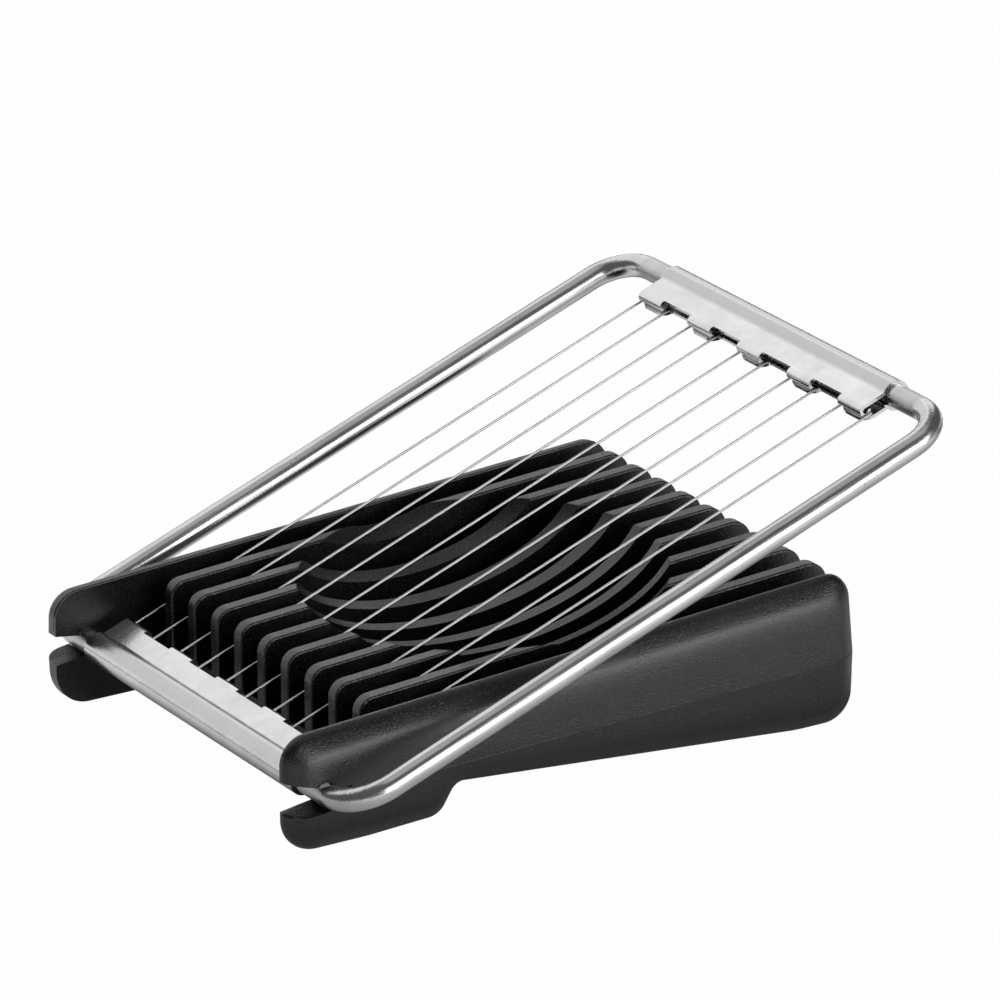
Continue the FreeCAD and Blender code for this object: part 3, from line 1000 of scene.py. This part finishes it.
    def snap_nub(self, side: Side) -> bpy.types.Object:
        """Small round nub over the slot, on the inner face of a wall.

        Args:
            side: which wall.

        Returns:
            The new piece.
        """
        y, z = self.nub_place
        place = (side.value * self.inner_face * MM, (y - self.hinge_to_origin) * MM, z * MM)
        select_none()
        bpy.ops.mesh.primitive_uv_sphere_add(
            segments=self.nub_segments,
            ring_count=self.nub_rings,
            radius=self.nub_radius * MM,
            location=place,
        )
        nub = bpy.context.object
        nub.name = f"snap_nub_{side.name.lower()}"
        apply_place(nub)
        bpy.ops.object.shade_smooth()
        return nub


@dataclass
class CuttingFrame:
    """The hinged frame: bent rod, two sheet clamps and ten wires."""

    wire_count: int = 10

    def build(self, frame: Dict[str, Any], finishes: Finishes) -> List[bpy.types.Object]:
        """Dress the frame's pieces.

        Args:
            finishes: the finishes of the part.

        Returns:
            The pieces that were dressed.
        """
        nodes = frame["nodes"]
        dress(nodes["frame_rod"], finishes.rod)
        pieces = [nodes["frame_rod"]]
        for name in ("front_clamp", "rear_clamp"):
            dress(nodes[name], finishes.sheet)
            pieces.append(nodes[name])
        for index in range(self.wire_count):
            wire = nodes[f"cutting_wire_{index + 1:02d}"]
            dress(wire, finishes.wire)
            pieces.append(wire)
        return pieces


@dataclass(frozen=True)
class Softbox:
    """A flat soft lamp."""

    name: str
    place: Tuple[float, float, float]
    width: float
    height: float
    radiance: float

    def hang(self, target: Vector) -> None:
        """Add the lamp, turned towards a point.

        Args:
            target: the point.
        """
        data = bpy.data.lights.new(self.name, "AREA")
        data.shape = "RECTANGLE"
        data.size = self.width
        data.size_y = self.height
        data.energy = self.radiance * math.pi * self.width * self.height
        lamp = bpy.data.objects.new(self.name, data)
        bpy.context.scene.collection.objects.link(lamp)
        lamp.location = self.place
        lamp.rotation_euler = (target - Vector(self.place)).to_track_quat("-Z", "Y").to_euler()


@dataclass
class Studio:
    """Pale floor, soft lamps, dim surround and the camera."""

    floor_size: float = 40.0
    floor_shade: float = 0.9
    floor_glow: float = 0.985
    # Floor glow in reflections: painted shade close beside the object, painted shadow under it and behind it.
    painted_shade_close_glow: float = 0.45
    open_glow: float = 1.0
    shade_glow: float = 0.12
    open_left: Tuple[float, float] = (-0.02, 0.08)
    open_right: Tuple[float, float] = (0.04, 0.11)
    under_across: Tuple[float, float] = (0.028, 0.04)
    under_along: Tuple[float, float] = (0.042, 0.055)
    shade_way: Tuple[float, float] = (-0.85, 0.53)
    shade_from: Tuple[float, float] = (0.06, 0.10)
    shade_to: Tuple[float, float] = (0.15, 0.19)
    surround: float = 0.12
    azimuth: float = 58.3795
    elevation: float = 20.8625
    roll: float = -0.3279
    distance: float = 1.11820
    lens: float = 308.008
    sensor: float = 36.0
    clip: Tuple[float, float] = (0.05, 100.0)
    target: Tuple[float, float, float] = (-0.0015094, 0.0031493, 0.0275538)
    lamps: Tuple[Softbox, ...] = (
        Softbox("right_softbox", (1.13, 0.41, 0.37), 1.3, 0.72, 2.9),
        Softbox("left_softbox", (-1.02, -0.27, 0.70), 1.4, 1.6, 0.95),
        Softbox("rear_softbox", (-1.06, 0.78, 0.70), 0.8, 0.8, 1.1),
        Softbox("top_softbox", (0.0, 0.2, 1.7), 1.2, 1.2, 0.45),
    )

    def build(self) -> None:
        """Set up the whole studio."""
        self.floor()
        self.world()
        for lamp in self.lamps:
            lamp.hang(Vector(self.target))
        self.camera()
        bpy.context.scene.view_settings.view_transform = "Standard"

    def floor(self) -> None:
        """Pale floor that stays near white to the camera and in reflections, and keeps the shadow.

        In reflections it carries a painted shade under and beside the object and a painted shadow behind it.
        """
        select_none()
        bpy.ops.mesh.primitive_plane_add(size=self.floor_size, location=(0, 0, 0))
        floor = bpy.context.object
        floor.name = "studio_floor"
        graph = NodeGraph("pale_floor")
        diffuse = graph.add("ShaderNodeBsdfDiffuse", Color=(self.floor_shade,) * 3 + (1.0,))
        glow = graph.add("ShaderNodeEmission", Color=(1.0, 1.0, 1.0, 1.0), Strength=1.0)
        mix = graph.add("ShaderNodeMixShader")
        path = graph.add("ShaderNodeLightPath").outputs
        seen = graph.math("MULTIPLY", path["Is Camera Ray"], self.floor_glow)
        mirrored = graph.math("MAXIMUM", path["Is Glossy Ray"], path["Is Transmission Ray"])
        graph.join(graph.math("MAXIMUM", seen, mirrored), mix.inputs[0])
        graph.join(graph.ramp(mirrored, 1.0, self.reflected(graph), 0.0, 1.0), glow.inputs["Strength"])
        graph.join(diffuse.outputs[0], mix.inputs[1])
        graph.join(glow.outputs[0], mix.inputs[2])
        dress(floor, graph.close(mix))

    def reflected(self, graph: NodeGraph) -> Socket:
        """Brightness of the floor as metal and plastic mirror it, with a painted shade and a painted shadow
        near the object.

        Args:
            graph: the floor's node tree.

        Returns:
            The brightness.
        """
        split = graph.add("ShaderNodeSeparateXYZ")
        graph.join(graph.point(), split.inputs[0])
        x, y = split.outputs[0], split.outputs[1]
        left = graph.ramp(graph.math("MULTIPLY", x, -1.0), self.painted_shade_close_glow, self.open_glow, *self.open_left)
        right = graph.ramp(x, self.painted_shade_close_glow, self.open_glow, *self.open_right)
        beside = graph.math("MAXIMUM", left, right)
        # Painted shadow under the object and behind it to the left, on the floor as reflections see it.
        under = graph.math(
            "MULTIPLY",
            graph.ramp(graph.math("ABSOLUTE", x), 1.0, 0.0, *self.under_across),
            graph.ramp(graph.math("ABSOLUTE", y), 1.0, 0.0, *self.under_along),
        )
        along_x, along_y = (graph.math("MULTIPLY", c, w) for c, w in zip((x, y), self.shade_way))
        away = graph.math("ADD", along_x, along_y)
        starts = graph.ramp(away, 0.0, 1.0, *self.shade_from)
        ends = graph.ramp(away, 1.0, 0.0, *self.shade_to)
        shade = graph.math("MAXIMUM", graph.math("MULTIPLY", starts, ends), under)
        return graph.ramp(shade, beside, self.shade_glow, 0.0, 1.0)

    def world(self) -> None:
        """Dim, even surround."""
        world = bpy.data.worlds.new("studio_surround")
        bpy.context.scene.world = world
        world.use_nodes = True
        tree = world.node_tree
        tree.nodes.clear()
        output = tree.nodes.new("ShaderNodeOutputWorld")
        soft = tree.nodes.new("ShaderNodeBackground")
        soft.inputs["Color"].default_value = (1.0, 1.0, 1.0, 1.0)
        soft.inputs["Strength"].default_value = self.surround
        tree.links.new(soft.outputs[0], output.inputs[0])

    def camera(self) -> None:
        """Camera at the photograph's angle, for a square frame."""
        a = math.radians(self.azimuth)
        e = math.radians(self.elevation)
        r = math.radians(self.roll)
        back = Vector((math.sin(a) * math.cos(e), -math.cos(a) * math.cos(e), math.sin(e)))
        level = Vector((math.cos(a), math.sin(a), 0.0))
        upright = back.cross(level)
        right = math.cos(r) * level + math.sin(r) * upright
        up = -math.sin(r) * level + math.cos(r) * upright
        place = Vector(self.target) + self.distance * back
        data = bpy.data.cameras.new("photo_camera")
        data.sensor_width = self.sensor
        data.lens = self.lens
        data.clip_start, data.clip_end = self.clip
        camera = bpy.data.objects.new("photo_camera", data)
        bpy.context.scene.collection.objects.link(camera)
        turn = Matrix((right, up, back)).transposed().to_4x4()
        camera.matrix_world = Matrix.Translation(place) @ turn
        bpy.context.scene.camera = camera


def main() -> None:
    """Load the frame, build and dress every sub-assembly and set up the studio."""
    logging.basicConfig(level=logging.INFO, format="%(name)s: %(message)s")
    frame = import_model()
    select_none()
    finishes = Finishes()
    pieces = CombBase().build(frame, finishes.plastic) + CuttingFrame().build(frame, finishes)
    for piece in pieces:
        LOG.info("%s, %d faces, %s", piece.name, len(piece.data.polygons), piece.data.materials[0].name)
    Studio().build()


if __name__ == "__main__":
    main()
